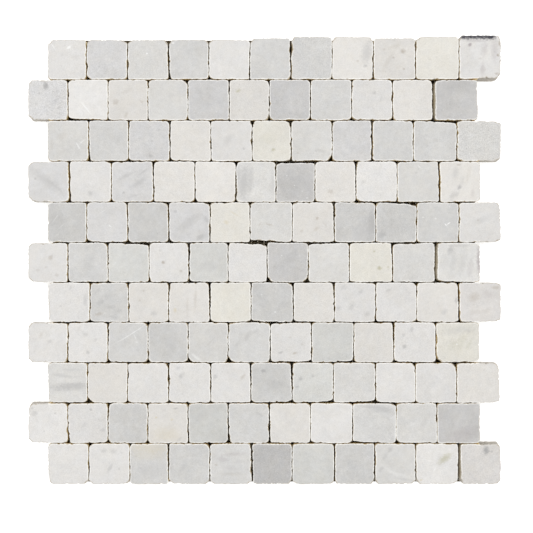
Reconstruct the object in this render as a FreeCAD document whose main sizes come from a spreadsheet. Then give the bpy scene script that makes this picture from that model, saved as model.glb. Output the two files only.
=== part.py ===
"""A mosaic tile sheet: rows of tumbled marble stones laid in running bond on a mesh backing.

The sheet lies on its back with +Z up. The mesh rests on Z = 0, lengthwise strands below and
cross strands above, and the stones stand on the cross strands. Rows run along X, row 1 is the
one farthest along +Y, and the origin is below the middle of the whole sheet.
"""

import FreeCAD
import Part
import Sketcher
import os
import random
from FreeCAD import Vector

# The sizes in millimetres, each with what it measures
SIZES = {
    "stone_width": (25.8, "a stone of the middle size, along its row"),
    "width_step": (0.7, "from one size of stone to the next"),
    "stone_depth": (25.2, "a stone across its row, in a row of the middle size"),
    "row_step": (0.3, "from one size of row to the next"),
    "depth_step": (0.9, "what a shallow or a deep stone differs from its row's depth"),
    "stone_thickness": (10.0, "a stone from its back to its face"),
    "corner_wear": (1.2, "radius that tumbling gives a corner"),
    "arris_wear": (0.4, "flat that tumbling gives an arris"),
    "side_lean": (0.6, "how far a leaning side runs in"),
    "joint_width": (0.45, "gap between neighbours in a row"),
    "open_joint": (1.75, "gap beside a stone that was laid too far off"),
    "row_joint": (0.55, "gap between two rows"),
    "row_offset": (12.5, "how far every other row is set off to the right"),
    "laying_play": (0.2, "share of a gap by which a stone lies off its place"),
    "mesh_pitch": (4.1, "from strand to strand of the mesh"),
    "strand_width": (0.8, "a strand across"),
    "strand_thickness": (0.25, "a strand from back to front"),
    "strand_tail": (1.2, "how far a strand runs past the last one that crosses it"),
    "mesh_inset": (2.0, "from the edge that all rows reach in to the mesh's edge"),
}

# One digit a stone, from left to right: how wide it is, where 3 is the middle size
STONE_SIZES = [
    "13323333454",
    "22223233325",
    "32333132356",
    "34433213343",
    "13332443344",
    "22321133545",
    "41233433344",
    "22222434245",
    "22342334235",
    "22222334535",
    "33134242343",
]
# One digit a row, from row 1 on: how deep its stones are
ROW_SIZES = "34443223335"
MIDDLE_SIZE = 3

# The four corners of each kind of worn stone, from the lower right anticlockwise. A corner has
# three shares: of corner_wear for its radius, and of side_lean for how far it is drawn in
# along the row and across it.
WEAR = {
    "even": ((1.0, 0, 0), (1.1, 0, 0), (0.9, 0, 0), (1.0, 0, 0)),
    "uneven": ((0.8, 0.3, 0), (1.5, 0, 0.5), (1.0, 0, 0), (1.8, 0.3, 0)),
    "leaning": ((1.1, 0, 0), (0.9, 1, 0), (1.3, 0, 0.3), (0.8, 0, 0)),
    "falling_right": ((1.1, 0, 0), (1.4, 0, 2), (1.0, 0, 0), (1.0, 0, 0)),
    "falling_left": ((0.9, 0, 0), (1.1, 0, 0), (1.5, 0, 1.5), (1.0, 0, 0)),
    "lifted_right": ((1.6, 0, 1.2), (0.9, 1, 0), (1.1, 0, 0), (1.0, 0, 0)),
    "askew_right": ((1.1, 0, 0), (1.4, 0, 1.5), (1.0, 0, 0), (1.1, 0, 1.5)),
    "askew_left": ((1.0, 0, 1.2), (1.1, 0, 0), (1.4, 0, 1.5), (1.0, 0, 0)),
    "shallow": ((1.4, 0, 0), (0.9, 0, 0), (1.0, 0, 0), (1.1, 0, 0)),
    "deep": ((1.0, 0, 0), (1.2, 0, 0), (1.3, 0, 0), (0.9, 0, 0)),
    "deep_leaning": ((1.1, 0, 0), (0.9, 1, 0), (1.3, 0, 0), (0.8, 0, 0)),
    "deeper": ((0.9, 0, 0), (1.3, 0, 0), (1.1, 0, 0), (1.0, 0, 0)),
    "deepest_broken": ((2.8, 0, 0), (1.3, 0, 0), (1.1, 0, 0), (1.0, 0, 0)),
    "broken_right": ((2.5, 0, 0), (1.0, 0, 0), (0.9, 0, 0), (1.2, 0, 0)),
    "broken_left": ((1.1, 0, 0), (0.9, 0, 0), (1.0, 0, 0), (2.5, 0, 0)),
    "broken_below": ((2.4, 0, 0), (1.0, 0, 0), (1.1, 0, 0), (2.6, 0, 0)),
}
COMMON_WEAR = ["even", "uneven", "leaning"]
DEPTH_STEPS = {"shallow": -1, "deep": 1, "deep_leaning": 1, "deeper": 2, "deepest_broken": 3}

# The stones that differ from the rest, by row and place: their wear, and if half turned
SPECIAL_STONES = {
    (1, 1): ("broken_right", True),
    (1, 6): ("deep_leaning", False),
    (1, 7): ("deeper", False),
    (1, 8): ("deeper", False),
    (1, 9): ("deep", False),
    (1, 10): ("deeper", False),
    (1, 11): ("deepest_broken", False),
    (2, 2): ("falling_right", True),
    (2, 4): ("broken_left", True),
    (2, 6): ("broken_left", True),
    (2, 10): ("broken_left", True),
    (3, 6): ("broken_below", True),
    (3, 7): ("broken_right", False),
    (3, 10): ("falling_right", False),
    (4, 1): ("broken_left", False),
    (4, 3): ("leaning", False),
    (4, 6): ("broken_right", True),
    (4, 7): ("shallow", True),
    (4, 10): ("leaning", False),
    (4, 11): ("leaning", True),
    (5, 6): ("falling_right", True),
    (5, 7): ("leaning", False),
    (5, 9): ("falling_right", False),
    (6, 3): ("falling_right", False),
    (6, 6): ("falling_right", False),
    (6, 7): ("broken_below", False),
    (6, 8): ("falling_left", False),
    (6, 10): ("falling_left", False),
    (8, 5): ("broken_left", False),
    (8, 6): ("broken_left", False),
    (8, 7): ("askew_left", False),
    (8, 8): ("falling_left", True),
    (8, 11): ("broken_below", False),
    (9, 2): ("broken_left", False),
    (9, 6): ("lifted_right", False),
    (9, 7): ("falling_left", True),
    (9, 8): ("falling_left", True),
    (9, 10): ("broken_left", True),
    (10, 3): ("broken_below", True),
    (10, 6): ("leaning", True),
    (10, 9): ("askew_right", False),
    (11, 2): ("broken_right", True),
}

# Row and place of the stones with an open joint on their left
OPEN_JOINTS = [(2, 11), (6, 11), (11, 11)]

LAYING_SEED = 5

# The middle of a quarter circle of radius 1 lies this far inside both sides of its corner
ARC_MIDDLE = 1 - 0.5**0.5


def make_sizes(doc):
    """The spreadsheet of driving dimensions, one aliased cell each."""
    sizes = doc.addObject("Spreadsheet::Sheet", "sizes")
    for line, (name, (value, meaning)) in enumerate(SIZES.items(), start=1):
        sizes.set(f"A{line}", meaning)
        sizes.set(f"B{line}", str(value))
        sizes.setAlias(f"B{line}", name)
    doc.recompute()


def origin_part(body, role):
    """One of a body's own origin planes or axes."""
    return next(part for part in body.Origin.OriginFeatures if part.Role == role)


def make_outline_sketch(body, plane, points):
    """A closed sketch of straight sides, each point held by a pair of expressions."""
    sketch = body.newObject("Sketcher::SketchObject", "outline")
    sketch.AttachmentSupport = [(origin_part(body, plane), "")]
    sketch.MapMode = "FlatFace"
    places = [
        Vector(float(sketch.evalExpression(along)), float(sketch.evalExpression(up)), 0)
        for along, up in points
    ]
    following = places[1:] + places[:1]
    for start, end in zip(places, following):
        sketch.addGeometry(Part.LineSegment(start, end))
    for side in range(len(points)):
        next_side = (side + 1) % len(points)
        sketch.addConstraint(Sketcher.Constraint("Coincident", side, 2, next_side, 1))
    for side, (place, (along, up)) in enumerate(zip(places, points)):
        for kind, value, expression in (
            ("DistanceX", place.x, along),
            ("DistanceY", place.y, up),
        ):
            held = sketch.addConstraint(Sketcher.Constraint(kind, -1, 1, side, 1, value))
            sketch.setExpression(f"Constraints[{held}]", expression)
    return sketch


def size_width(size):
    """The width of a stone of one of the sizes, as an expression."""
    return f"(sizes.stone_width + {int(size) - MIDDLE_SIZE} * sizes.width_step)"


def row_depth(row_size):
    """The depth of a row of one of the sizes, as an expression."""
    return f"(sizes.stone_depth + {int(row_size) - MIDDLE_SIZE} * sizes.row_step)"


def stone_depth(row_size, wear):
    """The depth of a kind of stone in such a row, as an expression."""
    return f"({row_depth(row_size)} + {DEPTH_STEPS.get(wear, 0)} * sizes.depth_step)"


def stone_outline(width, depth, corners):
    """The points of a worn stone's outline, anticlockwise from the lower right corner.

    Each corner is broken into two flats, the chords of a quarter circle, and a corner that is
    drawn in makes the sides beside it lean."""
    points = []
    quarters = [(1, -1), (1, 1), (-1, 1), (-1, -1)]
    for (right, up), (worn, in_along, in_across) in zip(quarters, corners):
        flats = [(1, 0), (ARC_MIDDLE, ARC_MIDDLE), (0, 1)]
        if right * up > 0:
            flats.reverse()
        for along, across in flats:
            x_worn = f"({along * worn} * sizes.corner_wear + {in_along} * sizes.side_lean)"
            y_worn = f"({across * worn} * sizes.corner_wear + {in_across} * sizes.side_lean)"
            x = f"{right} * ({width} / 2 - {x_worn})"
            y = f"{up} * ({depth} / 2 - {y_worn})"
            points.append((x, y))
    return points


def make_stone_block(doc, size, row_size, wear):
    """A stone before its arrises wear: its outline, raised to the stone's thickness."""
    outline = stone_outline(size_width(size), stone_depth(row_size, wear), WEAR[wear])
    body = doc.addObject("PartDesign::Body", f"stone_{size}_{row_size}_{wear}")
    profile = make_outline_sketch(body, "XY_Plane", outline)
    block = body.newObject("PartDesign::Pad", "block")
    block.Profile = profile
    block.setExpression("Length", "sizes.stone_thickness")
    body.Tip = block
    return body


def wear_arrises(body):
    """Wear the arrises round the face and the back of a stone."""
    block = body.Tip
    flats = [
        f"Face{number}"
        for number, face in enumerate(block.Shape.Faces, start=1)
        if abs(face.normalAt(0, 0).z) > 0.5
    ]
    worn = body.newObject("PartDesign::Chamfer", "worn_arrises")
    worn.Base = (block, flats)
    worn.setExpression("Size", "sizes.arris_wear")
    body.Tip = worn


def choose_wear(laying):
    """The wear of every stone, and whether it lies half turned, by row and place."""
    chosen = {}
    for row, sizes in enumerate(STONE_SIZES, start=1):
        for place in range(1, len(sizes) + 1):
            common = (laying.choice(COMMON_WEAR), laying.random() < 0.5)
            chosen[row, place] = SPECIAL_STONES.get((row, place), common)
    return chosen


def full_row():
    """The length of a row of middle-sized stones, as an expression."""
    count = len(STONE_SIZES[0])
    return f"({count} * sizes.stone_width + {count - 1} * sizes.joint_width)"


def run_before(row, place):
    """How far a stone's left side is from its row's left end, as an expression."""
    before = place - 1
    steps = sum(int(size) - MIDDLE_SIZE for size in STONE_SIZES[row - 1][:before])
    opened = sum((row, other) in OPEN_JOINTS for other in range(1, place + 1))
    return (
        f"({before} * sizes.stone_width + {steps} * sizes.width_step"
        f" + {before - opened} * sizes.joint_width + {opened} * sizes.open_joint)"
    )


def rows_before(row):
    """How far a row's far side is from the sheet's, with the stones of its own depth in every
    row, as an expression. One row past the last, it is the whole sheet and one joint more."""
    before = row - 1
    steps = sum(int(row_size) - MIDDLE_SIZE for row_size in ROW_SIZES[:before])
    return f"({before} * (sizes.stone_depth + sizes.row_joint) + {steps} * sizes.row_step)"


def all_rows():
    """How far the sheet reaches across its rows, as an expression."""
    return f"({rows_before(len(ROW_SIZES) + 1)} - sizes.row_joint)"


def seat_share(kind, half_turned):
    """How far a stone's middle lies off its row's, as a share of depth_step. A shallow stone
    lines up with its row at the side towards +Y and a deep one at the other, and half turned
    they change sides."""
    off = abs(DEPTH_STEPS.get(kind, 0)) / 2
    return -off if half_turned else off


def lay_row(doc, row, stones, wear, laying):
    """One row of the sheet, its stones laid from left to right, each a little off its place."""
    row_size = ROW_SIZES[row - 1]
    row_up = f"{all_rows()} / 2 - {rows_before(row)} - {row_depth(row_size)} / 2"
    set_off = "sizes.row_offset" if row % 2 else "0"
    row_left = f"-({full_row()} + sizes.row_offset) / 2 + {set_off}"
    slack = "sizes.laying_play * min(sizes.joint_width; sizes.row_joint)"
    laid = []
    for place, size in enumerate(STONE_SIZES[row - 1], start=1):
        kind, half_turned = wear[row, place]
        shift, rise, turn = (round(laying.uniform(-1, 1), 2) for _ in range(3))
        middle = f"{row_left} + {run_before(row, place)} + {size_width(size)} / 2"
        seat = f"{seat_share(kind, half_turned)} * sizes.depth_step"
        angle = "180 deg" if half_turned else "360 deg"
        stone = doc.addObject("App::Link", f"stone_{row:02}_{place:02}")
        stone.LinkedObject = stones[size, row_size, kind]
        stone.setExpression("Placement.Base.x", f"{middle} + {shift} * {slack}")
        stone.setExpression("Placement.Base.y", f"{row_up} + {seat} + {rise} * {slack}")
        stone.setExpression("Placement.Base.z", "2 * sizes.strand_thickness")
        stone.setExpression(
            "Placement.Rotation.Angle",
            f"{angle} + asin(2 * {turn} * {slack} / sizes.stone_depth)",
        )
        laid.append(stone)
    tile_row = doc.addObject("Part::Compound", f"tile_row_{row:02}")
    tile_row.Links = laid
    return tile_row


def mesh_pitches(reach):
    """How many whole pitches of the mesh fit in a reach, with the tails past the last strand."""
    return f"floor(({reach} - sizes.strand_width / 2 - sizes.strand_tail) / sizes.mesh_pitch)"


def make_mesh_layer(doc, name, section_plane, spread_axis, half_spread, half_run, bottom):
    """One layer of the mesh: flat strands side by side, one of them in the middle.

    half_spread and half_run are how far the mesh may reach across and along the strands, each
    side of the middle, and bottom is the height of the layer's back, all as expressions."""
    pitches = mesh_pitches(half_spread)
    first = f"-{pitches} * sizes.mesh_pitch"
    sides = [f"{first} - sizes.strand_width / 2", f"{first} + sizes.strand_width / 2"]
    top = f"{bottom} + sizes.strand_thickness"
    section = [(sides[0], bottom), (sides[1], bottom), (sides[1], top), (sides[0], top)]
    layer = doc.addObject("PartDesign::Body", name)
    layer.AllowCompound = True
    profile = make_outline_sketch(layer, section_plane, section)
    strand = layer.newObject("PartDesign::Pad", "strand")
    strand.Profile = profile
    strand.SideType = "Symmetric"
    last_crossing = f"{mesh_pitches(half_run)} * sizes.mesh_pitch + sizes.strand_width / 2"
    strand.setExpression("Length", f"2 * ({last_crossing} + sizes.strand_tail)")
    strands = layer.newObject("PartDesign::LinearPattern", "strands")
    strands.Originals = [strand]
    strands.Direction = (origin_part(layer, spread_axis), [""])
    strands.setExpression("Occurrences", f"2 * {pitches} + 1")
    strands.setExpression("Length", f"2 * {pitches} * sizes.mesh_pitch")
    layer.Tip = strands
    return layer


def make_mesh(doc):
    """The mesh backing, cut to the rectangle that every row covers."""
    half_width = f"(({full_row()} - sizes.row_offset) / 2 - sizes.mesh_inset)"
    half_length = f"({all_rows()} / 2 - sizes.mesh_inset)"
    lengthwise = make_mesh_layer(
        doc, "mesh_lengthwise", "XZ_Plane", "X_Axis", half_width, half_length, "0"
    )
    crosswise = make_mesh_layer(
        doc,
        "mesh_crosswise",
        "YZ_Plane",
        "Y_Axis",
        half_length,
        half_width,
        "sizes.strand_thickness",
    )
    return [lengthwise, crosswise]


def check(doc, pieces):
    """Stop if anything failed to compute, or a piece is empty or broken."""
    failed = [thing.Label for thing in doc.Objects if {"Invalid", "Error"} & set(thing.State)]
    broken = [piece.Label for piece in pieces if piece.Shape.isNull() or not piece.Shape.isValid()]
    if failed or broken:
        raise RuntimeError(f"not computed: {failed}, not valid: {broken}")


def main():
    doc = FreeCAD.newDocument("mosaic_sheet")
    make_sizes(doc)
    laying = random.Random(LAYING_SEED)
    wear = choose_wear(laying)
    kinds = sorted(
        {
            (STONE_SIZES[row - 1][place - 1], ROW_SIZES[row - 1], kind)
            for (row, place), (kind, _) in wear.items()
        }
    )
    stones = {kind: make_stone_block(doc, *kind) for kind in kinds}
    doc.recompute()
    for stone in stones.values():
        wear_arrises(stone)
    rows = range(1, len(STONE_SIZES) + 1)
    pieces = [lay_row(doc, row, stones, wear, laying) for row in rows] + make_mesh(doc)
    doc.recompute()
    check(doc, pieces)

    os.makedirs("parts", exist_ok=True)
    for piece in pieces:
        piece.Shape.exportStep(f"parts/{piece.Label}.step")
        print(piece.Label, len(piece.Shape.Solids), "solids", round(piece.Shape.Volume), "mm3")


main()
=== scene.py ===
# %% [markdown]
# # A sheet of tumbled marble mosaic
#
# The real thing is a square foot of small marble stones, glued to a mesh so that a tiler can
# lay them all at once. The frame already holds every stone and every strand at its real size,
# as plain blocks with straight sides. This lesson gives them the looks: worn outlines, broken
# arrises, marble that differs from stone to stone, and woven strands.
#
# All shapes are worked out with numpy as whole arrays. A bevel and a displace modifier would wear
# a stone alike all round, but a formula lets each one chip in its own places.

# %% Load the frame
import math

import bpy
import numpy as np
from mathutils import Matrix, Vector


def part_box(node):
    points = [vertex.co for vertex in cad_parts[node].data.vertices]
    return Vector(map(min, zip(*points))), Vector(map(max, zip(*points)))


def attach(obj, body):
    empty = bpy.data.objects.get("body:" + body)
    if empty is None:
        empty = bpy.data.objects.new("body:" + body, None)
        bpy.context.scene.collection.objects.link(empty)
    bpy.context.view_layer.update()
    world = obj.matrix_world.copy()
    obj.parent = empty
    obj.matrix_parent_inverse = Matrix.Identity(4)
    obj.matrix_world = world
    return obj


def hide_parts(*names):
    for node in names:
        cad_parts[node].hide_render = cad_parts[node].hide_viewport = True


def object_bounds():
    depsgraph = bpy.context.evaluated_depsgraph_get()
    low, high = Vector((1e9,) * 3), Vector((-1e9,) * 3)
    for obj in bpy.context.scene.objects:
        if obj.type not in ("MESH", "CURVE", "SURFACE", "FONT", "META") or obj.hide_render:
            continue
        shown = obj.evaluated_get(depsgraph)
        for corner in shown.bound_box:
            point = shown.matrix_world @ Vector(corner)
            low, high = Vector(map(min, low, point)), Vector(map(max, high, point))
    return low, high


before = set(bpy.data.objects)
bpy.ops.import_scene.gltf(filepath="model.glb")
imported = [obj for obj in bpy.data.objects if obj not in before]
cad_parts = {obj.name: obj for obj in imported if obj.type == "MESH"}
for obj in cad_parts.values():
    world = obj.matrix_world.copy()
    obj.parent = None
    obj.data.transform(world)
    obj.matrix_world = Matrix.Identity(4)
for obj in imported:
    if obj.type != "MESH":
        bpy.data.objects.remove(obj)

cad_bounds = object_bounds()
MM = 0.001
ROWS = sorted(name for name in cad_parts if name.startswith("tile_row_"))
sheet_size = [round(length / MM, 1) for length in cad_bounds[1] - cad_bounds[0]]
print("rows of stones:", len(ROWS), "sheet in mm:", sheet_size)

# %% [markdown]
# ## Find the stones in the frame
#
# A row comes as one mesh of loose triangles. Its stones don't touch, so triangles that share a
# corner belong to one stone. Handing labels from corner to corner finds them without any loop
# over the triangles: each triangle gives its lowest label to its corners until nothing changes.

# %% Read a node and split it into solids
def read_triangles(node):
    """The corners of a node in metres, one row each, and its triangles as three corner numbers."""
    corners = np.empty(len(node.data.vertices) * 3)
    node.data.vertices.foreach_get("co", corners)
    rims = np.empty(len(node.data.loops), int)
    node.data.loops.foreach_get("vertex_index", rims)
    return corners.reshape(-1, 3), rims.reshape(-1, 3)


def solid_labels(corners, triangles):
    """A label for each triangle, the same for all triangles of one solid."""
    _, welded = np.unique(np.round(corners, 6), axis=0, return_inverse=True)
    rims = welded.ravel()[triangles]
    labels = np.arange(rims.max() + 1)
    while True:
        handed = labels.copy()
        np.minimum.at(handed, rims, labels[rims].min(1)[:, None])
        if (handed == labels).all():
            return labels[rims[:, 0]]
        labels = handed


# %% [markdown]
# ## Measure each stone's outline
#
# The upright sides of a block are half-planes. Seen from the stone's middle, a side at distance
# d with the outward normal n is met at d / (n . e) in the direction e, and the outline is the
# nearest of them all. Taking a soft nearest instead, a sum of high powers, rounds the corners
# between the flats as tumbling does, and never leaves the block.

# %% Directions round a stone
POINTS_A_SIDE = 50

across = (np.arange(POINTS_A_SIDE) + 0.5) / POINTS_A_SIDE * 2 - 1
quarter_turns = np.arange(4)[:, None] * math.pi / 2
angles = (quarter_turns + np.arctan(across)).ravel()
directions = np.stack([np.cos(angles), np.sin(angles)], axis=1)
print("directions round a stone:", len(directions))

# %% How far a stone's outline lies in each direction
CORNER_SHARPNESS = 130


def stone_outline(corners, triangles):
    """The middle of a stone, its lowest and highest point, and its outline's distance from the
    middle in each direction: (sum over the sides of ((n . e) / d) ** p) ** (-1 / p)."""
    points = corners[triangles]
    low, high = points.min((0, 1)), points.max((0, 1))
    middle = (low + high)[:2] / 2
    normals = np.cross(points[:, 1] - points[:, 0], points[:, 2] - points[:, 0])
    normals /= np.linalg.norm(normals, axis=1, keepdims=True)
    upright = np.abs(normals[:, 2]) < 0.1
    side = normals[upright, :2]
    distance = ((points[upright, 0, :2] - middle) * side).sum(1)
    sides = np.unique(np.round(np.column_stack([side, distance / MM]), 3), axis=0)
    nearness = np.clip(sides[:, :2] @ directions.T, 0, None) / (sides[:, 2:] * MM)
    nearest = nearness.max(0)
    reach = ((nearness / nearest) ** CORNER_SHARPNESS).sum(0) ** (-1 / CORNER_SHARPNESS) / nearest
    return middle, low, high, reach


def row_stones(name):
    """Every stone of a row from left to right, measured."""
    corners, triangles = read_triangles(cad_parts[name])
    labels = solid_labels(corners, triangles)
    found = [stone_outline(corners, triangles[labels == label]) for label in np.unique(labels)]
    return sorted(found, key=lambda stone: stone[0][0])


# %% Measure all the stones
stones = [stone for name in ROWS for stone in row_stones(name)]
middles = np.array([stone[0] for stone in stones])
lows = np.array([stone[1] for stone in stones])
highs = np.array([stone[2] for stone in stones])
outlines = np.array([stone[3] for stone in stones])
half_sizes = (highs - lows)[:, :2] / 2
COUNT = len(stones)
ROW_LENGTH = COUNT // len(ROWS)
print("stones:", COUNT, "reach in mm:", (outlines / MM).min().round(2), (outlines / MM).max().round(2))

# %% [markdown]
# ## Wear
#
# Tumbling knocks the stones against each other in a drum, so no arris stays straight. Two kinds
# of wear are added up round each stone: waves, made of sines with random heights, and dips at
# random places, which are small chips, a few larger ones and knocked corners. A joint closes
# where two sides swell towards each other and opens where both are chipped.

# %% Random lines round each stone
draw = np.random.default_rng(20)


def wave_lines(waves, fall):
    """A closed random line round each stone with a spread of 1: a sum of sines whose heights
    fall as the number of waves to the power fall."""
    heights = draw.normal(size=(COUNT, len(waves), 1)) / waves[None, :, None] ** fall
    phases = draw.uniform(0, 2 * math.pi, (COUNT, len(waves), 1))
    lines = (heights * np.sin(waves[None, :, None] * angles + phases)).sum(1)
    return lines / lines.std(1, keepdims=True)


def chip_lines(chips, widths, depths):
    """Dips round each stone, the deepest of bells exp(-(x / width)^2) at random places, where x
    is the distance along the outline."""
    places = draw.uniform(0, 2 * math.pi, (COUNT, chips, 1))
    width = draw.uniform(*widths, (COUNT, chips, 1))
    depth = draw.uniform(*depths, (COUNT, chips, 1)) ** 2 / depths[1]
    apart = (angles - places + math.pi) % (2 * math.pi) - math.pi
    along = apart * outlines[:, None, :]
    return (depth * np.exp(-((along / width) ** 2))).max(1)


def corner_dips(width, depths):
    """A bell-shaped dip at each of the four corners of every stone, of a depth for each."""
    apart = (angles - quarter_turns[None] - math.pi / 4 + math.pi) % (2 * math.pi) - math.pi
    return (depths[..., None] * np.exp(-((apart * outlines[:, None, :] / width) ** 2))).max(1)


# %% The wear of all stones
RAGGED_WAVES = np.arange(8, 50)
SLOW_WAVES = np.arange(2, 9)
WAVE_SPREAD = 0.085 * MM
KNOCK_WIDTH = 1.3 * MM
KNOCK_DEPTH = 0.7 * MM
# How many chips a stone has, and the ranges of their widths and depths
SMALL_CHIPS = (14, (0.3 * MM, 0.9 * MM), (0.0, 0.45 * MM))
LARGE_CHIPS = (2, (1.0 * MM, 2.5 * MM), (0.0, 0.6 * MM))

ragged = WAVE_SPREAD * wave_lines(RAGGED_WAVES, 0.6)
wander = WAVE_SPREAD * wave_lines(SLOW_WAVES, 0.3)
small_chips = chip_lines(*SMALL_CHIPS)
large_chips = chip_lines(*LARGE_CHIPS)
knocks = corner_dips(KNOCK_WIDTH, KNOCK_DEPTH * draw.uniform(0, 1, (COUNT, 4)) ** 2)
print("deepest chip in mm:", (large_chips.max() / MM).round(2))

# %% [markdown]
# Some dents and swells give a stone its own shape, so they are listed one by one: the row and place
# of the stone, the direction from its middle as shares of its half size to the right and up, the
# width of the bell and its depth in millimetres. A negative depth is a swell, which closes the
# joint. Bells from 5 mm in width set a whole side back and leave its arris as it is. Sides that
# slant towards the stone's foot have a list of their own: there the depth is how far they spread.

# %% Read a table from text
def read_table(kinds, text):
    """The lines of a text as tuples, each word turned into what its column holds."""
    lines = text.strip().split("\n")
    return [tuple(kind(word) for kind, word in zip(kinds, line.split())) for line in lines]


# %% Dents and swells of single stones
BELL_COLUMNS = (int, int, float, float, float, float)
DENTS = read_table(BELL_COLUMNS, """
1 1 1 .8 1.5 .45
1 1 1 -.15 1.2 .3
1 2 -1 .9 .8 .4
1 6 1 .45 1.6 .5
1 7 -1 .45 2.8 1.25
1 7 -1 -.08 .8 -.6
1 7 -1 -.6 3.5 .7
1 8 1 -.8 1.2 .3
1 10 -1 .6 2 .45
1 11 0 -1 12 .5
1 11 .5 -1 8 .9
2 3 1 0 8 -.12
2 4 -1 .7 .9 .6
2 7 1 1 1 .4
2 7 0 -1 9 .3
2 10 1 .1 12 .3
2 11 -1 0 12 .3
3 5 1 .97 .8 .8
3 6 -1 .75 .6 .7
3 6 1 .8 1 .6
3 7 0 -1 10 .55
3 7 1 -1 1.6 1
3 9 -1 -.2 4 .25
3 11 -1 .4 1.5 .5
4 2 -1 .2 3 .45
4 3 -1 .3 6 .2
4 4 -1 -.4 3 .35
4 4 1 0 9 -.15
4 6 -1 -.5 4 .35
4 6 1 .7 1.2 .4
4 7 1 0 9 -.15
4 8 1 0 9 -.12
4 9 -.2 -1 6 -.2
4 10 -1 -.9 1 .6
4 11 -1 0 8 .25
4 11 1 -1 1.2 .6
4 11 1 1 1 .5
5 1 1 0 9 -.15
5 3 -1 .4 5 .35
5 5 -1 .7 2.5 .5
5 5 -1 -.3 3 .3
5 5 1 .95 1 .4
5 7 -1 .3 5 .35
5 8 1 .4 3 .2
5 9 -1 .95 1 .5
5 9 1 0 9 -.12
5 11 -1 .6 2 .4
6 1 1 0 9 -.12
6 3 -1 .2 1 .3
6 4 -1 -.95 1.2 .8
6 7 -1 -1 1.8 .9
6 7 1 -1 1.8 .8
6 9 -1 .4 8 .3
6 11 -1 0 12 .45
7 2 -1 -.2 3 .3
7 2 1 .9 1 .5
7 3 -1 -.2 1.5 .4
7 4 -1 .8 2 .6
7 5 -1 .5 5 .5
7 7 -1 -.3 5 .4
7 7 1 .8 2 .6
7 8 1 .4 6 -.15
7 8 1 -.85 1.5 .4
7 9 1 0 9 -.12
6 10 -1 -.5 6 .35
7 11 -1 0 10 -.15
7 11 -1 .5 1 .45
7 11 -1 -.6 1 .4
8 2 -1 .4 2 .4
8 2 1 0 9 -.15
8 3 1 0 9 -.15
8 6 0 1 6 -.25
8 6 -.9 1 3 .6
8 6 .95 1 1.8 .6
8 6 -1 -1 2.2 1
8 6 1 -1 1.8 .6
8 9 -1 .5 6 .3
8 11 -1 .2 3 .4
8 11 -1 -1 2.5 1
8 11 1 1 1.5 .5
9 3 -1 .5 5 .4
9 4 -1 0 4 .3
9 8 1 .3 7 -.15
9 9 1 0 9 -.12
9 10 1 .95 1.8 .9
10 3 -1 .6 3 .4
10 3 1 -.4 4 .4
10 6 1 .9 1.5 .5
10 6 -1 -.9 2.5 .6
10 9 -1 -.3 5 .4
10 9 .4 1 10 -.9
10 9 1 0 10 -.5
10 10 -1 0 10 -.3
11 2 -1 0 8 .35
11 5 -1 .3 5 .4
11 8 -1 .5 5 .4
11 9 -1 .3 6 .35
11 9 1 .9 1.5 .5
11 9 1 -.3 .8 .4
10 1 -.6 1 8 .4
11 11 .2 1 12 .7
11 10 1 0 14 -.25
11 11 -1 0 12 .4
11 11 1 -1 2 .4
9 2 -1 -1 1.8 .9
""")
SLANTS = read_table(BELL_COLUMNS, """
2 11 -1 0 12 1.2
6 11 -1 0 12 1.4
8 11 -1 -.3 8 .6
11 11 -1 0 12 .9
""")

# %% Add up what is listed
WIDE_BELL = 5


def placed_bells(chosen, power=2):
    """What is listed for single stones as bells exp(-|x / width| ^ power), x along the outline,
    added up. A high power makes their tops flat."""
    bells = np.zeros_like(outlines)
    for row, place, right, up, width, depth in chosen:
        stone = (row - 1) * ROW_LENGTH + place - 1
        half = half_sizes[stone]
        towards = math.atan2(up * half[1], right * half[0])
        apart = (angles - towards + math.pi) % (2 * math.pi) - math.pi
        along = apart * outlines[stone] / MM
        bells[stone] += depth * MM * np.exp(-np.abs(along / width) ** power)
    return bells


dents = placed_bells([dent for dent in DENTS if dent[4] < WIDE_BELL])
set_back = placed_bells([dent for dent in DENTS if dent[4] >= WIDE_BELL])
print("dents:", len(DENTS), "deepest in mm:", (dents.max() / MM).round(2))

# %% [markdown]
# A side may swell only as far as there is room. How far each outline can move out before it
# meets the box of another stone is tried in steps, and half of that is this stone's share of the
# joint. Where nothing stands across, the side lies at the edge of the sheet.

# %% Room in the joints
STEP = 0.05 * MM
STEPS = 60


def free_space():
    """The distance from the outline to the next stone in each direction, up to all the steps."""
    space = np.zeros_like(outlines)
    open_still = np.ones(outlines.shape, bool)
    for step in range(1, STEPS + 1):
        beyond = middles[:, None] + (outlines[..., None] + step * STEP) * directions
        inside = (np.abs(beyond[:, :, None] - middles) < half_sizes).all(-1)
        inside[np.arange(COUNT), :, np.arange(COUNT)] = False
        open_still &= ~inside.any(-1)
        space += STEP * open_still
    return space


space = free_space()
in_joint = (space < STEP * (STEPS - 0.5)).astype(float)
print("in a joint:", in_joint.mean().round(2), "most room in mm:", (space.max() / MM).round(2))

# %% The worn edge
SWOLLEN = 0.03 * MM
SWOLLEN_ROWS = 0.055 * MM
OUTER_PROUD = 0.15 * MM
OUTER_KNOCK = 1.1 * MM
OUTER_RAGGED = 1.8
CHIP_REACH = 0.8
FLAT_TOP = 8
SLANT_ROOM = 0.8

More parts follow.
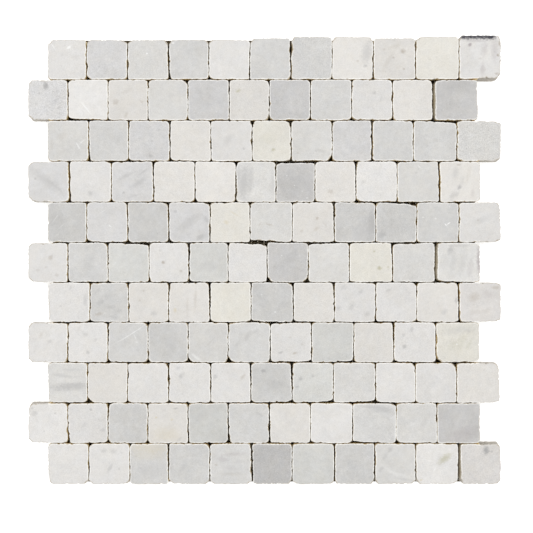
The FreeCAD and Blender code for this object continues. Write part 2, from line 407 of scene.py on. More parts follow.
proud = np.where(in_joint > 0, np.maximum(space - STEP, 0) / 2, OUTER_PROUD)
outer_corner = 1 - in_joint[:, POINTS_A_SIDE - 1 :: POINTS_A_SIDE]
knocks = np.maximum(knocks, corner_dips(KNOCK_WIDTH, OUTER_KNOCK * outer_corner))
chips = np.maximum(np.maximum(small_chips, large_chips), np.maximum(knocks, dents))
across_rows = np.abs(np.sin(angles)) > math.sqrt(0.5)
swell = np.maximum(-dents - set_back, 0) + (SWOLLEN + SWOLLEN_ROWS * across_rows) * in_joint
slant = np.minimum(placed_bells(SLANTS, FLAT_TOP), SLANT_ROOM * space)
ragged = np.where(in_joint > 0, ragged, OUTER_RAGGED * ragged)
edge = outlines + np.minimum(ragged + wander + swell, proud)
edge -= CHIP_REACH * np.maximum(chips, set_back)
off = (edge - outlines) / MM
print("edge off the block in mm:", off.min().round(2), off.mean().round(3), off.max().round(2))

# %% [markdown]
# ## The surface of a stone
#
# A stone is a function of two parameters: the direction round it and the place on a profile that
# runs from the middle of its face over the worn arris, down the side, round the lower arris and
# to the middle of its back. The arrises are quarter ellipses whose width and drop follow the
# wear. The side slopes from the worn edge to the block's own outline, or past it on a slant.

# %% How worn each arris is, and how each face lies
# An arris is wider and drops further where it is chipped, and both follow a slow wave. The side
# below it lies a little inside the block, by a ragged wave.
shallow = np.minimum(chips, 0.6 * MM)
arris_width = 0.30 * MM + 0.45 * shallow + 0.05 * MM * wave_lines(SLOW_WAVES, 0.5)
arris_drop = 0.50 * MM + 0.8 * shallow + 0.08 * MM * wave_lines(SLOW_WAVES, 0.5)
side_wave = 0.07 * MM * (1.5 + np.clip(wave_lines(RAGGED_WAVES, 0.7), -1.5, 1.5))
arris_width, arris_drop = np.maximum(arris_width, 0.12 * MM), np.maximum(arris_drop, 0.15 * MM)

# How far each face is tilted, sunk below the block's top and rounded off towards its arris
tilt = draw.uniform(-1, 1, (COUNT, 2)) * 0.10 * MM
sink = draw.uniform(0.10, 0.28, COUNT) * MM
crown = draw.uniform(0.02, 0.08, COUNT) * MM
width, drop = (arris_width.mean() / MM).round(2), (arris_drop.mean() / MM).round(2)
print("an arris is on average", width, "mm wide and drops by", drop, "mm")

# %% Rings of the profile
FACE_SHARES = (0.5, 0.85, 0.955, 0.985)
# How strongly each ring takes the pale rim: worn marble, and in the joints a painted highlight as
# well.
FACE_WEAR_AND_HIGHLIGHT = (0.0, 0.0, 0.0, 0.55)
ARRIS_TURNS = np.radians([0, 24, 46, 66, 84])
ARRIS_WEAR_AND_HIGHLIGHT = (1.0, 1.0, 1.0, 0.8, 0.5)
SIDE_SHARES = (0.12, 0.35)
BACK_TURNS = np.radians([70, 20])
BACK_SHARE = 0.8
BACK_WEAR = 0.4 * MM


def face_height(reach):
    """Height of the face at a distance from the middle: a plane tilted a little, which falls
    away towards the arris as the sixth power of the distance."""
    half = half_sizes[:, :1]
    slope = (tilt @ directions.T) * reach / half
    return highs[:, 2:] - sink[:, None] + slope - crown[:, None] * (reach / half) ** 6


def stone_rings():
    """Distance from the middle, height, and wear with its painted highlight for every ring, stone and
    direction.
    """
    rings = []
    inner = edge - arris_width
    for share, wear_and_highlight in zip(FACE_SHARES, FACE_WEAR_AND_HIGHLIGHT):
        rings.append((share * inner, face_height(share * inner), wear_and_highlight))
    rim = face_height(inner)
    shoulder = rim - arris_drop
    for turn, wear_and_highlight in zip(ARRIS_TURNS, ARRIS_WEAR_AND_HIGHLIGHT):
        reach = edge - arris_width * (1 - math.sin(turn))
        rings.append((reach, rim - arris_drop * (1 - math.cos(turn)), wear_and_highlight))
    back = lows[:, 2:] + np.zeros_like(rim)
    foot = back + BACK_WEAR
    for share in SIDE_SHARES:
        reach = edge + (outlines - edge - side_wave) * share + slant * share / SIDE_SHARES[-1]
        rings.append((reach, shoulder + (foot - shoulder) * share, 0.0))
    for turn in BACK_TURNS:
        reach = outlines + slant - side_wave - BACK_WEAR * (1 - math.sin(turn))
        rings.append((reach, foot - BACK_WEAR * math.cos(turn), 0.2))
    rings.append((BACK_SHARE * (outlines - 2 * BACK_WEAR), back, 0.0))
    return rings


rings = stone_rings()
print("rings:", len(rings), "points on a stone:", len(rings) * len(angles) + 2)

# %% [markdown]
# The faces join each ring to the next, and a fan closes each end at a pole. They are the same
# for every stone, so they are written once and shifted by each stone's first point.

# %% The faces of a stone
RINGS = len(rings)
ROUND = len(angles)


def ring_faces():
    """Quads between the rings and triangles to the two poles, all facing outwards."""
    here = np.arange(ROUND)
    after = (here + 1) % ROUND
    start = np.arange(RINGS - 1)[:, None] * ROUND
    quads = np.stack([start + here, start + ROUND + here, start + ROUND + after, start + after], -1)
    top, bottom = RINGS * ROUND, RINGS * ROUND + 1
    last = (RINGS - 1) * ROUND
    top_fan = np.stack([here, after, np.full(ROUND, top)], -1)
    bottom_fan = np.stack([last + after, last + here, np.full(ROUND, bottom)], -1)
    return quads.reshape(-1, 4), np.concatenate([top_fan, bottom_fan])


QUADS, FANS = ring_faces()
print("triangles in all stones:", COUNT * (2 * len(QUADS) + len(FANS)))

# %% The points of all stones
def stone_points():
    """All points as stones x points x 3, rings first and the two poles last. The sheet's outer
    stones are cut back to the frame's box."""
    reach = np.stack([ring[0] for ring in rings], 1)
    height = np.stack([ring[1] for ring in rings], 1)
    flat = middles[:, None, None, :] + reach[..., None] * directions
    points = np.concatenate([flat, height[..., None]], -1).reshape(COUNT, -1, 3)
    face_middle = np.column_stack([middles, highs[:, 2] - sink])
    back_middle = np.column_stack([middles, lows[:, 2]])
    points = np.concatenate([points, face_middle[:, None], back_middle[:, None]], 1)
    return np.clip(points, cad_bounds[0], cad_bounds[1])


points = stone_points()
print("points in all stones:", points.shape[0] * points.shape[1])

# %% What the marble needs to know at each point
NARROW = 0.9 * MM
OUTER_DUST_AND_SHADE_REACH = 2 * MM
PALE_DUST_AND_SHADE_REACH = 5 * MM
PALE_DUST_AND_SHADE_SHARE = 1.5
DIRTY_CHIP = 0.3 * MM
DIRTY_WEAR = 0.6
BACK_RINGS = len(BACK_TURNS) + 1


def on_rings(values, back=0.0):
    """A value for each ring, stone and direction as one for each point. The pole of the face
    gets 0 and that of the back its own value."""
    spread = np.stack([np.broadcast_to(value, outlines.shape) for value in values], 1)
    poles = np.broadcast_to([0.0, back], (COUNT, 2))
    return np.concatenate([spread.reshape(COUNT, -1), poles], 1)


# closed is 1 in a joint. roomy rises to 1 where the room is twice as wide as a narrow joint, and at
# the edge of the sheet. depth is in millimetres below the rim of the face.
# wear_and_highlight is where an arris turns pale: worn marble, and in the joints a painted highlight.
wear_and_highlight = on_rings([ring[2] for ring in rings])
# dusted_and_shaded marks the joint sides that take dust and painted shade, except near the stone
# corners at the sheet's edge.
dusted_and_shaded = in_joint * (1 - corner_dips(OUTER_DUST_AND_SHADE_REACH, outer_corner))
closed = on_rings([dusted_and_shaded] * (RINGS - BACK_RINGS) + [0.0] * BACK_RINGS)
sheet_edge = corner_dips(PALE_DUST_AND_SHADE_REACH, outer_corner)
roomy = np.maximum((space - NARROW) / NARROW, PALE_DUST_AND_SHADE_SHARE * sheet_edge)
roomy = on_rings([np.clip(roomy, 0, 1)] * RINGS)
chipped = on_rings([np.minimum(chips / DIRTY_CHIP, 1) * (ring[2] > DIRTY_WEAR) for ring in rings])
rim_height = rings[len(FACE_SHARES)][1]
depth = on_rings([np.maximum(rim_height - ring[1], 0) / MM for ring in rings], back=10.0)
print("share of the points in a joint:", closed.mean().round(2))

# %% [markdown]
# ## Build the meshes
#
# One piece stands for one row, as in the frame. foreach_set hands whole arrays to Blender. The
# marble needs more than a place: the stone's sort, how worn and how deep each point lies, and
# coordinates in the block it was sawn from. They are stored as attributes for the material.

# %% Make a mesh object from arrays
def make_piece(name, points, quads, fans=None):
    """A smooth mesh object at the origin, from points, quads and, if given, triangles."""
    triangles = np.empty((0, 3), int) if fans is None else fans
    rims = np.concatenate([quads.ravel(), triangles.ravel()])
    starts = np.concatenate(
        [np.arange(len(quads)) * 4, len(quads) * 4 + np.arange(len(triangles)) * 3]
    )
    mesh = bpy.data.meshes.new(name)
    mesh.vertices.add(len(points))
    mesh.vertices.foreach_set("co", points.ravel())
    mesh.loops.add(len(rims))
    mesh.loops.foreach_set("vertex_index", rims)
    mesh.polygons.add(len(starts))
    mesh.polygons.foreach_set("loop_start", starts)
    mesh.update(calc_edges=True)
    mesh.shade_smooth()
    piece = bpy.data.objects.new(name, mesh)
    bpy.context.scene.collection.objects.link(piece)
    return piece


def store(piece, name, kind, values):
    """Store a value or vector for each point of a piece, under a name that materials read."""
    attribute = piece.data.attributes.new(name, kind, "POINT")
    field = "value" if kind == "FLOAT" else "vector"
    attribute.data.foreach_set(field, np.ascontiguousarray(values, np.float32).ravel())


# %% [markdown]
# ## Sorts of marble
#
# The sheet mixes stones from white and grey blocks. The chart has one letter a stone, from left
# to right and row by row: w white, h warm white, c cream, y yellowish, p pale grey, r rosy grey,
# g light grey, v light greenish grey, m middle grey and d dark grey; P, G and M are bluer than p, g
# and m. The table gives each sort's colour as it looks in the picture, from 0 to 255, which is
# turned into what the surface must reflect under the studio's light, and how grey it is, because
# grey stones have stronger clouds. Some stones are lighter than their sort by a few per cent.

# %% The chart and the colours
SORTS = [
    "wGpgwgghhcw",
    "PwhpMhMgwhd",
    "pgGhwypGggp",
    "PwGhhpdhwph",
    "mPmGcphmmgw",
    "wgvwvwdpypp",
    "wmhhymhwwhr",
    "wwgmpgwvhwy",
    "phwwwmvpwwh",
    "wwmhvghwgpd",
    "wwgggdvmpwr",
]
LOOKS = read_table((str, float, float, float, float), """
w 229 227 224 .25
h 227 224 219 .15
c 229 226 218 .1
y 228 225 216 .2
p 220 218.5 215 .5
r 220.5 217.3 213.5 .5
g 213.5 212.5 210 .75
v 213 212.6 208.8 .7
m 208 207 204.5 1
d 200 198.5 196.5 1
P 219.5 218.3 217 .5
G 213.5 212.3 211 .75
M 207.5 206.3 205 1
""")
LIGHTER_STONES = {
    8: [(10, 9)],
    6: [(6, 11), (7, 2), (8, 6)],
    5: [(1, 8), (2, 2), (4, 5), (4, 11), (6, 3), (9, 7), (10, 3), (11, 5), (11, 10)],
    4: [(2, 11), (4, 3), (4, 6), (4, 8), (5, 4), (6, 7), (6, 8), (7, 11), (10, 1)],
    3: [(2, 1), (4, 4), (4, 9), (6, 2), (9, 1), (11, 1)],
    2: [(1, 2), (1, 10), (6, 9), (7, 5), (10, 6), (10, 8), (11, 3), (11, 4)],
    -2: [(3, 11), (8, 8)],
    -3: [(1, 9), (2, 3), (5, 1), (5, 11), (7, 8), (7, 9), (8, 9)],
    -4: [(2, 6), (2, 7), (2, 9), (3, 5), (8, 7), (10, 2), (10, 5)],
    -5: [(8, 5), (9, 10)],
    -8: [(11, 6)],
}
COARSE_STONES = {(1, 2): 2.0, (1, 7): 1.6, (2, 1): 3.6, (3, 11): 2.6, (11, 6): 1.6, (11, 11): 2.2}

# %% The tone of each stone
FACE_LIGHT = 1.15
TONE_SPREAD = 0.008
GREYNESS_SPREAD = 0.15


def paint(red, green, blue):
    """The reflectance that looks like this display colour: the sRGB curve undone, which is
    ((c + 0.055) / 1.055) ** 2.4, divided by the light on an upward face."""
    display = np.array([red, green, blue]) / 255
    return ((display + 0.055) / 1.055) ** 2.4 / FACE_LIGHT


def by_stone(chosen):
    """A value for each stone: 1, or what is chosen for its row and place."""
    values = np.ones(COUNT)
    for (row, place), value in chosen.items():
        values[(row - 1) * ROW_LENGTH + place - 1] = value
    return values


letters = "".join(SORTS)
sort_of = {letter: (*paint(*colour), grey) for letter, *colour, grey in LOOKS}
sorts = np.array([sort_of[letter] for letter in letters])
tones, greyness = sorts[:, :3], sorts[:, 3]
lighter = {stone: 1 + change / 100 for change, alike in LIGHTER_STONES.items() for stone in alike}
tones *= (by_stone(lighter) * (1 + draw.normal(0, TONE_SPREAD, COUNT)))[:, None]
coarseness = by_stone(COARSE_STONES) * draw.uniform(0.7, 1.3, COUNT)
greyness += draw.uniform(-GREYNESS_SPREAD, GREYNESS_SPREAD, COUNT)
print("mean reflectance:", tones.mean(0).round(3))

# %% [markdown]
# Every stone was sawn from a different part of a block, at its own angle. So its pattern is not
# read at its place on the sheet, but at that place turned at random and moved far away. The turn
# is a rotation from a random quaternion (w, x, y, z).

# %% Coordinates in the block
def random_turns():
    """A rotation matrix for each stone, from a random unit quaternion."""
    turn = draw.normal(size=(4, COUNT))
    w, x, y, z = turn / np.linalg.norm(turn, axis=0)
    rows = [
        [1 - 2 * (y * y + z * z), 2 * (x * y - w * z), 2 * (x * z + w * y)],
        [2 * (x * y + w * z), 1 - 2 * (x * x + z * z), 2 * (y * z - w * x)],
        [2 * (x * z - w * y), 2 * (y * z + w * x), 1 - 2 * (x * x + y * y)],
    ]
    return np.moveaxis(np.array(rows), 2, 0)


block_places = draw.uniform(-1, 1, (COUNT, 1, 3))
from_middle = points - np.column_stack([middles, highs[:, 2]])[:, None]
in_block = from_middle @ random_turns() + block_places

# %% [markdown]
# Marks that show on one stone only, such as a stain or a scratch, need coordinates from that
# stone's own middle. The stones of a row are told apart by moving each of them 0.1 m further
# along X, so that a mark never reaches its neighbour.

# %% Make the rows
STONE_APART = 0.1
place_in_row = np.tile(np.arange(1, ROW_LENGTH + 1), len(ROWS))
on_stone = from_middle + np.column_stack([place_in_row * STONE_APART, np.zeros((COUNT, 2))])[:, None]
STONE_VALUES = dict(wear_and_highlight=wear_and_highlight, depth=depth, closed=closed, roomy=roomy, chipped=chipped)
STONE_VALUES.update(greyness=greyness[:, None], coarseness=coarseness[:, None])
STONE_VECTORS = dict(tone=tones[:, None], in_block=in_block, on_stone=on_stone)


def stone_row(number, name):
    """The stones of a row as one piece that stands for the row's node."""
    chosen = np.arange((number - 1) * ROW_LENGTH, number * ROW_LENGTH)
    shift = (np.arange(ROW_LENGTH) * points.shape[1])[:, None, None]
    quads = (QUADS + shift).reshape(-1, 4)
    fans = (FANS + shift).reshape(-1, 3)
    piece = make_piece(f"stones_row_{number:02}", points[chosen].reshape(-1, 3), quads, fans)
    per_point = (ROW_LENGTH, points.shape[1])
    for label, values in STONE_VALUES.items():
        store(piece, label, "FLOAT", np.broadcast_to(values[chosen], per_point))
    for label, values in STONE_VECTORS.items():
        store(piece, label, "FLOAT_VECTOR", np.broadcast_to(values[chosen], (*per_point, 3)))
    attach(piece, "root")
    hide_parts(name)
    return piece


row_pieces = [stone_row(number, name) for number, name in enumerate(ROWS, start=1)]
print("pieces:", len(row_pieces), "points each:", len(row_pieces[0].data.vertices))

# %% [markdown]
# ## Marble
#
# Under the studio light marble is a soft, even colour with clouds a few millimetres wide, a fine
# grain of crystals, and here and there a darker speck or a bright glint. All of that is a small
# change of the stone's own tone, so the material multiplies the tone by noise of several sizes.
# The arrises are powdered pale by the tumbling, and in the joints paler still as a painted
# highlight. Chips keep a little dirt. Dust, where nothing rubs it off, and painted shade colour the
# sides: beige-grey outside, browner and darker with depth in the joints.

# %% Helpers for node trees
def new_material(name):
    """An empty material with its shader and output, and the shader node itself."""
    material = bpy.data.materials.new(name)
    material.use_nodes = True
    material.node_tree.nodes.clear()
    shader = material.node_tree.nodes.new("ShaderNodeBsdfPrincipled")
    output = material.node_tree.nodes.new("ShaderNodeOutputMaterial")
    material.node_tree.links.new(shader.outputs["BSDF"], output.inputs["Surface"])
    return material, shader


def add_node(tree, kind, inputs, **settings):
    """A node with its settings made, and each input linked to a socket or set to a value."""
    node = tree.nodes.new(kind)
    for name, value in settings.items():
        setattr(node, name, value)
    for name, value in inputs.items():
        if isinstance(value, bpy.types.NodeSocket):
            tree.links.new(value, node.inputs[name])
        else:
            node.inputs[name].default_value = value
    return node


def read_attribute(tree, name, output="Fac"):
    """The value of a stored attribute as a socket."""
    return add_node(tree, "ShaderNodeAttribute", {}, attribute_name=name).outputs[output]


# %% Helpers for numbers, noise and colours
def calculate(tree, operation, first, second=0.0, third=0.0):
    """A Math node's result."""
    inputs = {0: first, 1: second, 2: third}
    return add_node(tree, "ShaderNodeMath", inputs, operation=operation).outputs[0]


def noise(tree, place, scale, detail=3.0, roughness=0.5, distortion=0.0):
    """Noise of a scale in waves a metre, as a value about 0.5."""
    inputs = {"Vector": place, "Scale": scale, "Detail": detail, "Roughness": roughness}
    inputs["Distortion"] = distortion
    return add_node(tree, "ShaderNodeTexNoise", inputs).outputs["Fac"]


def ramp(tree, value, low, high, to_low=0.0, to_high=1.0):
    """A smooth step: to_low where value is under low, to_high where it is over high."""
    inputs = {"Value": value, 1: low, 2: high, 3: to_low, 4: to_high}
    step = add_node(tree, "ShaderNodeMapRange", inputs, interpolation_type="SMOOTHSTEP")
    return step.outputs[0]


def mix_colours(tree, share, first, second, blend="MIX"):
    """The second colour over the first, by a share."""
    inputs = {0: share, 6: first, 7: second}
    mixed = add_node(tree, "ShaderNodeMix", inputs, data_type="RGBA", blend_type=blend)
    return mixed.outputs[2]


# %% [markdown]
# ## Marks of single stones
#
# What makes a stone recognisable is its own spots, stains, streaks and scratches. Each is an
# ellipse on the stone's face or arris, listed as: row and place of the stone, its middle as a
# share of the half size to the right and up, its half length and half width in millimetres, its
# turn in degrees anticlockwise, the kind of stain and how strongly it covers the marble.

# %% The stains
STAINS = {
    "grey": (177, 176, 175),
    "haze": (197, 196, 195),
    "brown": (168, 155, 138),
    "olive": (188, 184, 156),
    "gold": (221, 211, 189),
    "mauve": (180, 172, 173),
    "slate": (70, 68, 76),
    "white": (250, 250, 248),
}

# %% Marks on the faces
MARK_COLUMNS = (int, int, float, float, float, float, float, str, float)
FACE_MARKS = read_table(MARK_COLUMNS, """
1 1 .1 .6 1.7 .8 40 white 1
1 1 -.72 .66 2.2 .35 -55 white .7
1 1 .45 .1 2.6 1.6 0 brown .1
1 2 -.4 -.5 3 .2 60 white .4
1 2 -.37 -.38 .7 .6 0 grey .5
1 3 -.05 .3 .6 .5 0 white 1
1 4 -.8 .82 .8 .6 0 white .9
1 8 .7 .25 8 3 80 haze .55
1 8 .62 -.38 1.4 1 0 grey .45
1 8 .25 -.15 .9 .8 0 brown .25
1 9 .4 .35 1.7 1.5 0 brown .55
1 9 -.3 -.1 7 1.5 60 brown .14
1 9 0 .6 5 1.2 20 brown .14
1 9 -.05 .05 .8 .6 0 brown .4
1 9 .45 -.5 .7 .7 0 brown .4
1 9 -.5 .45 1 .8 0 brown .22
1 11 -.5 .58 1.5 1 60 mauve .95
1 11 .12 -.55 1.6 4 0 mauve .4
1 11 .2 .35 5 2 80 mauve .3
1 11 .7 .4 2.4 9 0 mauve .3
1 11 -.2 .75 8 .9 0 mauve .35
1 11 0 -.05 1 .8 0 brown .22
2 1 -.1 .71 1.6 2.6 0 grey .9
2 1 .35 -.1 5 1 50 grey .25
2 1 -.45 .35 .9 .7 0 grey .45
2 1 .55 -.4 1.4 .8 30 grey .35
2 1 -.6 -.2 1.2 .7 60 grey .3
2 2 -.13 -.38 5 .5 -50 white .85
2 3 -.62 -.12 2 1.8 0 brown .32
2 3 .7 -.1 1 .8 0 brown .25
2 3 -.1 -.75 2 1 60 brown .2
2 3 0 .45 4.5 1.5 20 brown .12
2 6 -.57 .45 1.7 1 20 olive .6
2 6 -.5 -.5 .7 .6 0 brown .25
2 6 .8 -.1 .7 .7 0 brown .25
2 9 .1 .35 1.3 1.2 20 grey .45
2 9 .45 .1 2.6 .7 80 grey .22
2 11 0 .75 12 4 0 grey .3
2 11 -.7 .4 5 4 60 haze .3
3 1 -.3 .25 3.5 2.5 30 brown .16
3 1 .5 -.25 2.4 .5 -60 white .55
3 1 .7 -.05 2.4 .4 40 white .45
3 1 -.8 -.2 1 4 0 brown .14
3 3 .07 -.75 1.4 1.1 0 grey .55
3 3 .15 -.02 .7 .6 0 grey .5
3 3 .5 .55 .8 .7 0 grey .4
3 5 -.15 .1 4 2.2 50 haze .35
3 5 .6 -.4 .8 .7 0 grey .45
3 6 .1 -.45 1.3 1.1 0 olive .6
3 6 -.2 .1 5 3 0 olive .12
3 7 .45 -.5 3.5 1.2 -10 grey .3
3 7 -.7 -.6 .9 .7 0 brown .3
4 1 -.05 0 13 3 -38 haze .5
4 1 .3 -.2 6 1 -38 grey .22
4 1 -.65 .15 1 .8 0 grey .45
4 2 0 -.6 1.8 1.6 0 grey .42
4 3 -.3 .3 6 1.4 25 grey .3
4 3 .3 -.05 6 1.6 30 grey .3
4 3 .55 .5 4 .8 35 grey .28
4 3 -.42 -.55 1 .9 0 grey .55
4 3 .1 -.7 5 .8 15 haze .45
4 6 -.6 -.1 13 4.5 86 haze .55
4 6 -.62 -.1 9 2.4 84 grey .25
4 6 -.25 .2 9 1.8 88 haze .5
4 6 -.9 .3 6 1.2 88 haze .5
4 6 .85 -.1 1.4 8 0 haze .4
4 7 .1 -.05 8 6 0 grey .3
4 7 -.05 -.15 .35 .3 0 white .7
4 7 .35 -.45 .35 .3 0 white .7
4 7 .6 -.8 .5 .4 0 white .6
4 7 -.45 .35 .4 .4 0 white .5
4 8 -.25 -.5 1.8 1.4 0 brown .3
4 9 -.65 0 1.3 1.2 0 grey .35
4 10 .05 .75 1.6 .3 -40 white .6
4 10 -.1 .45 1 .8 0 grey .3
4 11 -.03 -.28 1.7 1.3 60 grey .7
4 11 -.22 .45 4 1.8 85 haze .4
4 11 -.35 -.7 3 1.8 50 grey .35
4 11 -.12 -.6 2.2 1.1 65 grey .3
4 11 .1 0 4 1.4 78 haze .28
4 11 .62 -.55 3 1.4 80 mauve .2
4 11 .4 .3 6 1.2 78 brown .1
4 11 -.05 .85 1.5 .6 0 brown .4
5 1 -.5 .1 8 6 -50 grey .28
5 1 -.6 .2 3 .25 55 white .35
5 1 -.3 -.2 3 .25 40 white .3
5 2 .15 -.2 1.2 .4 -40 white .75
5 2 -.2 .55 3 .3 30 white .3
5 4 0 0 9 3 40 haze .6
5 4 .85 .1 4 1.2 -50 grey .4
5 4 .55 -.75 3.5 1.6 30 grey .5
5 4 -.7 .55 1.2 1.2 0 grey .45
5 5 -.2 0 1.8 1.2 -30 gold .65
5 5 .2 .45 4 .6 -30 gold .4
5 6 -.1 -.12 2.6 .6 -10 brown .3
5 6 -.55 -.1 1.2 .5 60 brown .18
5 7 .2 .2 1.2 1 0 brown .4
5 7 .15 -.35 2.4 1 40 brown .22
5 7 -.55 -.45 1 .9 0 brown .25
5 7 .6 -.15 1.4 .6 -60 brown .22
5 8 .85 -.1 10 4 80 grey .6
5 8 .35 -.5 7 5 50 haze .55
5 9 -.7 -.6 2.6 2 30 grey .55
5 9 -.1 -.3 7 6 0 grey .18
5 10 .38 -.12 1.2 .35 -45 white 1
5 10 .52 -.05 1.4 .35 40 white 1
5 10 -.1 .2 .7 .4 0 white .6
5 10 -.7 .25 .7 .4 0 white .5
5 11 0 .1 5 2 20 haze .35
5 11 -.1 .1 .8 .6 0 brown .3
6 1 .15 .25 1.8 1.3 60 brown .38
6 1 .45 -.65 1.4 1.2 0 brown .25
6 1 -.5 -.4 1.2 1 0 brown .16
6 1 -.1 -.25 .8 .7 0 brown .25
6 2 .1 0 6 3 60 haze .3
6 4 -.3 0 1.2 1 0 brown .55
6 4 -.45 .6 1 .8 0 grey .3
6 4 .6 -.45 .9 .9 0 brown .3
6 5 -.1 -.2 6 3 0 haze .35
6 7 .05 .1 6 4 30 grey .22
6 7 -.3 .35 .5 .4 0 white .5
6 9 .4 -.3 1.5 1.3 0 olive .75
6 9 .15 .55 .8 .6 0 olive .55
6 9 .8 -.25 .7 .7 0 olive .4
6 11 -.38 .65 3 2 70 grey .5
6 11 -.25 .1 7 1.6 84 haze .32
6 11 .2 0 9 2.4 80 haze .32
6 11 .55 -.3 6 2 84 mauve .24
6 11 0 .85 6 .8 0 grey .3
6 11 .95 .1 1.4 9 0 mauve .7
7 1 .1 .75 1.4 .9 60 grey .35
7 1 .8 .1 1.2 4 0 haze .45
7 1 -.4 -.2 .9 .7 0 haze .5
7 2 -.05 .32 4.5 1.4 8 grey .22
7 2 -.45 0 2.8 1.6 20 grey .34
7 2 .1 -.25 3.4 1.4 -8 grey .34
7 2 .5 -.42 2.6 1.2 5 grey .26
7 2 -.55 -.6 2.8 1.2 15 brown .32
7 2 .2 -.75 3 1.1 -5 grey .24
7 2 -.6 .6 2.2 1.2 30 grey .2
7 3 .25 -.55 2 1.8 0 grey .4
7 3 -.25 .6 .8 .7 0 brown .3
7 3 -.45 .1 .8 .7 0 brown .25
7 4 -.7 -.4 1 1.6 0 gold .7
7 4 .3 .2 7 1 88 brown .2
7 4 -.1 -.2 6 .8 88 brown .14
7 6 -.5 .4 .4 .4 0 white .5
7 6 .15 -.5 .6 .5 0 white .8
7 8 -.15 -.2 2.6 1.5 60 grey .34
7 8 .6 -.6 2 1.5 30 grey .34
7 8 -.6 .75 2.4 1.6 30 grey .3
7 8 -.8 -.3 1.8 1.3 0 grey .32
7 8 .3 .55 2 1.2 60 grey .3
7 9 -.4 .6 1.8 1.2 20 grey .32
7 10 .9 .1 1.2 2.4 0 grey .55
7 10 .3 -.5 2.2 1.6 40 haze .5
7 11 -.3 .25 4 2.8 20 brown .26
7 11 .4 .4 4.5 2.6 -20 mauve .24
7 11 .75 .75 2.4 1.2 0 brown .35
7 11 -.1 -.5 7 1.6 10 brown .12
8 1 -.35 .4 2 1.2 60 brown .16
8 1 .1 .05 1.6 1.2 0 haze .45
8 2 0 -.5 1.2 1.2 0 grey .5
8 2 -.1 .4 1.6 1.2 30 grey .3
8 2 .4 .15 1.4 1 30 grey .3
8 3 .3 .5 9 .32 33 white .5
8 3 .36 .28 2 .32 -65 white .45
8 3 .45 0 .8 .6 0 white .45
8 3 -.2 .2 7 .3 30 white .3
8 4 .2 0 9 3 85 haze .3
8 5 -.6 -.75 3.5 1 -35 white .45
8 5 .1 0 4 .6 45 brown .14
8 6 -.1 .3 3.5 1.6 60 grey .32
8 6 .3 .55 2.6 1.2 20 grey .28
8 6 -.6 -.1 2 1 60 haze .45
8 7 -.5 -.52 1.6 .9 20 grey .6
8 7 .2 -.55 1.8 .7 10 brown .45
8 7 .55 -.1 .8 .6 0 brown .3
8 7 -.05 .25 .9 .7 0 brown .25
8 10 -.5 -.22 1.5 1.4 0 grey .6
8 10 -.15 .65 1.8 1.2 60 grey .4
8 10 -.55 .35 1.4 1 60 grey .3
8 11 0 .6 9 3 10 haze .35
8 11 .15 0 7 3 60 olive .2
8 11 -.3 -.2 4 2 50 olive .18
8 11 .5 -.15 4 1.4 60 olive .22
8 11 .5 .55 2 1.4 40 grey .22
8 11 -.05 -.1 .6 .5 0 white .6
9 1 .05 -.22 13 2.4 2 grey .5
9 1 .4 -.12 8 1.4 -4 haze .5
9 1 -.2 .35 8 1.2 -8 haze .45
9 1 .2 .65 6 1 0 haze .35
9 4 -.4 .35 2.5 1.4 60 grey .4
9 4 -.55 .75 1.4 .9 0 grey .3
9 5 -.8 .3 1.8 1.3 60 haze .6
9 5 .6 .3 2.4 1.1 50 brown .3
9 6 -.4 .6 1.5 1.1 -20 grey .85
9 6 .15 -.1 5 4 0 grey .25
9 7 -.6 .2 1.6 1.2 60 grey .6
9 7 -.75 -.2 1.2 .9 0 grey .45
9 7 0 .35 1 .9 0 grey .4
10 1 -.7 .5 2.2 1.6 0 grey .28
10 1 -.8 .75 1.2 .8 0 grey .3
10 1 .35 .5 .7 .6 0 grey .4
10 1 -.2 -.4 .7 .6 0 haze .5
10 2 .15 .7 1 .9 0 grey .5
10 2 .75 -.35 1.8 1.4 0 grey .35
10 2 -.2 -.1 3 1.2 40 haze .35
10 4 .4 .75 1.6 .6 10 grey .6
10 4 -.6 .3 .8 .6 0 gold .9
10 4 -.3 -.55 8 5 25 gold .32
10 4 .2 -.65 7 4 0 gold .25
10 4 .2 .2 .9 .8 0 gold .6
10 4 .6 -.8 2 .8 40 grey .3
10 5 -.3 .4 6 3 30 haze .3
10 6 .55 .45 3 .8 -30 grey .28
10 7 0 0 5 2 30 haze .12
10 9 .3 .72 9 2.2 -8 grey .4
10 9 -.4 .85 5 1.2 -5 haze .4
10 10 .35 0 4 2 60 haze .35
10 11 .2 -.55 9 4.5 20 mauve .3
11 1 -.1 -.1 5 2.5 0 haze .18
11 2 -.25 .65 1.9 1.6 40 grey .32
11 2 .2 .62 2.2 1.7 0 grey .28
11 2 .6 .55 .9 .7 0 grey .3
11 2 .05 -.2 3 1.2 60 haze .6
11 2 .5 -.25 .9 .8 0 grey .35
11 3 0 .85 14 3.5 -3 gold .42
11 3 -.1 .5 12 4 0 gold .25
11 3 .1 -.3 8 5 0 haze .35
11 4 -.3 -.2 4 1.6 60 haze .5
11 5 .15 .48 8 1.2 4 mauve .26
11 5 -.4 .22 3.6 1.6 -8 mauve .3
11 5 .35 .1 4 1 6 mauve .18
11 5 -.05 -.22 5 1 -4 mauve .15
11 5 -.1 -.5 8 .9 0 brown .12
11 5 -.7 -.05 1.2 .8 0 brown .3
11 9 -.25 .72 1.6 1.2 40 grey .5
11 9 -.5 .35 3 1 60 grey .25
11 9 -.7 -.25 2.6 1.2 50 grey .35
11 9 .2 -.5 9 .9 -15 white .2
11 9 -.3 -.3 7 .8 -35 white .14
11 9 .4 -.75 6 .8 -10 haze .4
11 10 .37 .26 5 2.1 38 olive .62
11 10 -.75 -.8 1.2 .6 40 gold .7
11 10 -.1 -.25 2.2 .3 65 white .8
11 11 .28 .68 2 2.6 0 grey 1
11 11 .55 .62 1 .8 0 grey .45
""")

